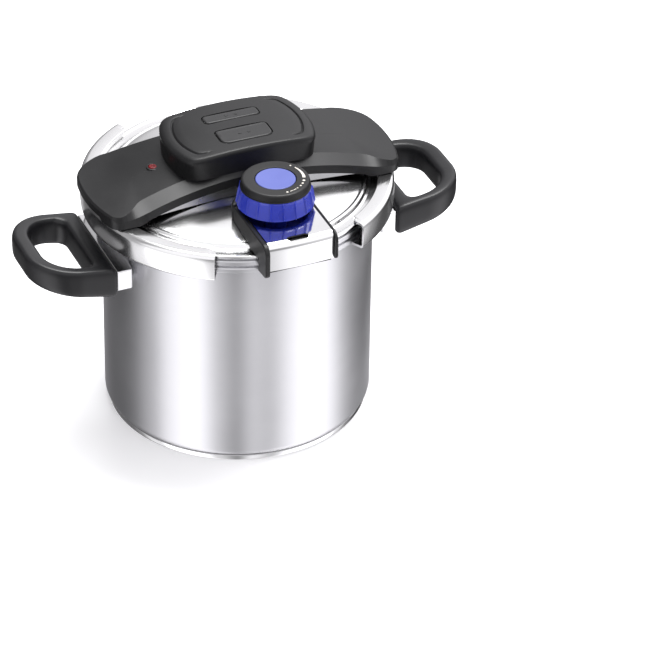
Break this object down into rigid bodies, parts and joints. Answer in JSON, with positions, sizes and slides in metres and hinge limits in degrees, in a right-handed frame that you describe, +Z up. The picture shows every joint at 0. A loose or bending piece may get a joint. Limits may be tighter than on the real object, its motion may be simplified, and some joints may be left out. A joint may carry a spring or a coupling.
{
  "type": "pressure canner",
  "caption": "Stainless pressure canner with a clamped lid, two sliding jaws, a black bridge with push buttons, a blue pressure selector knob and loop side handles.",
  "frame": {"origin": "middle of the pot's flat base", "axes": "+Z up out of the pot, +X towards the right handle, -Y towards the selector knob"},
  "size_m": [0.377, 0.256, 0.258],
  "materials": {
    "steel_satin": "satin brushed stainless steel",
    "steel_polished": "mirror polished stainless steel",
    "steel_inner": "plain cut and bent steel",
    "aluminium_core": "plain aluminium",
    "black_plastic": "black satin moulded phenolic",
    "handle_plastic": "black moulded phenolic",
    "panel_plastic": "black fine-grained plastic",
    "blue_plastic": "blue moulded plastic",
    "light_blue_plastic": "lighter blue plastic",
    "red_plastic": "red plastic",
    "white_mark": "white printed marks",
    "silicone": "translucent grey silicone",
    "spring_steel": "spring wire",
    "brass": "turned brass"
  },
  "bodies": {
    "pot": {"pot_body": "steel_satin", "base_cap": "steel_polished", "base_disc": "aluminium_core", "left_handle": "handle_plastic", "right_handle": "handle_plastic", "left_handle_bracket": "steel_polished", "right_handle_bracket": "steel_polished", "left_handle_screws": "steel_inner", "right_handle_screws": "steel_inner"},
    "left_jaw": {"left_jaw": "steel_polished", "left_jaw_arm": "steel_inner", "left_jaw_rivets": "steel_inner"},
    "right_jaw": {"right_jaw": "steel_polished", "right_jaw_arm": "steel_inner", "right_jaw_rivets": "steel_inner"},
    "open_button": {"open_button": "black_plastic"},
    "close_button": {"close_button": "black_plastic"},
    "indicator": {"indicator_pin": "red_plastic"},
    "safety_piston": {"safety_valve_piston": "brass"},
    "valve_piston": {"valve_piston": "brass"},
    "selector": {"knob_ring": "blue_plastic", "knob_top_ring": "black_plastic", "knob_cap": "light_blue_plastic", "knob_scale": "white_mark"},
    "lid": {"lid_shell": "steel_polished", "lid_seal": "silicone", "left_jaw_spring": "spring_steel", "right_jaw_spring": "spring_steel", "mechanism_frame": "steel_inner", "bridge_stud": "steel_inner", "bridge_lower_nut": "steel_inner", "bridge_upper_nut": "steel_inner", "bridge_cover": "black_plastic", "pod_shell": "black_plastic", "pod_top_panel": "panel_plastic", "button_guide_plate": "black_plastic", "open_button_spring": "spring_steel", "close_button_spring": "spring_steel", "indicator_bush": "silicone", "safety_valve_body": "brass", "safety_valve_nut": "brass", "safety_valve_spring": "spring_steel", "valve_housing": "black_plastic", "valve_cover_plate": "steel_polished", "valve_stud": "brass", "valve_nut": "brass", "valve_spring": "spring_steel"}
  },
  "joints": [
    {"name": "lid_lift", "type": "slide", "parent": "pot", "child": "lid", "axis": [0, 0, 1], "range_m": [0, 0.15]},
    {"name": "left_jaw_slide", "type": "slide", "parent": "lid", "child": "left_jaw", "axis": [-1, 0, 0], "range_m": [0, 0.012], "deforming": ["left_jaw_spring", "right_jaw_spring"]},
    {"name": "right_jaw_slide", "type": "slide", "parent": "lid", "child": "right_jaw", "axis": [1, 0, 0], "range_m": [0, 0.012], "deforming": ["right_jaw_spring"]},
    {"name": "open_button_press", "type": "slide", "parent": "lid", "child": "open_button", "axis": [0, 0, -1], "range_m": [0, 0.0048], "deforming": ["open_button_spring"]},
    {"name": "close_button_press", "type": "slide", "parent": "lid", "child": "close_button", "axis": [0, 0, -1], "range_m": [0, 0.003], "stiffness_N_per_m": 300, "springref_m": -0.002, "deforming": ["close_button_spring"]},
    {"name": "selector_turn", "type": "hinge", "parent": "lid", "child": "selector", "pos_m": [0, -0.081, 0.232], "axis": [0, 0, 1], "range_deg": [-50, 70]},
    {"name": "indicator_rise", "type": "slide", "parent": "lid", "child": "indicator", "axis": [0, 0, 1], "range_m": [0, 0.003]},
    {"name": "safety_valve_lift", "type": "slide", "parent": "lid", "child": "safety_piston", "axis": [0, 0, 1], "range_m": [0, 0.002], "stiffness_N_per_m": 400, "springref_m": -0.002, "deforming": ["safety_valve_spring"]},
    {"name": "working_valve_lift", "type": "slide", "parent": "lid", "child": "valve_piston", "axis": [0, 0, 1], "range_m": [0, 0.002], "stiffness_N_per_m": 300, "springref_m": -0.002, "deforming": ["valve_spring"]}
  ],
  "couplings": [
    {"joint": "right_jaw_slide", "follows": "left_jaw_slide", "ratio": 1},
    {"joint": "open_button_press", "follows": "left_jaw_slide", "ratio": 0.4}
  ]
}
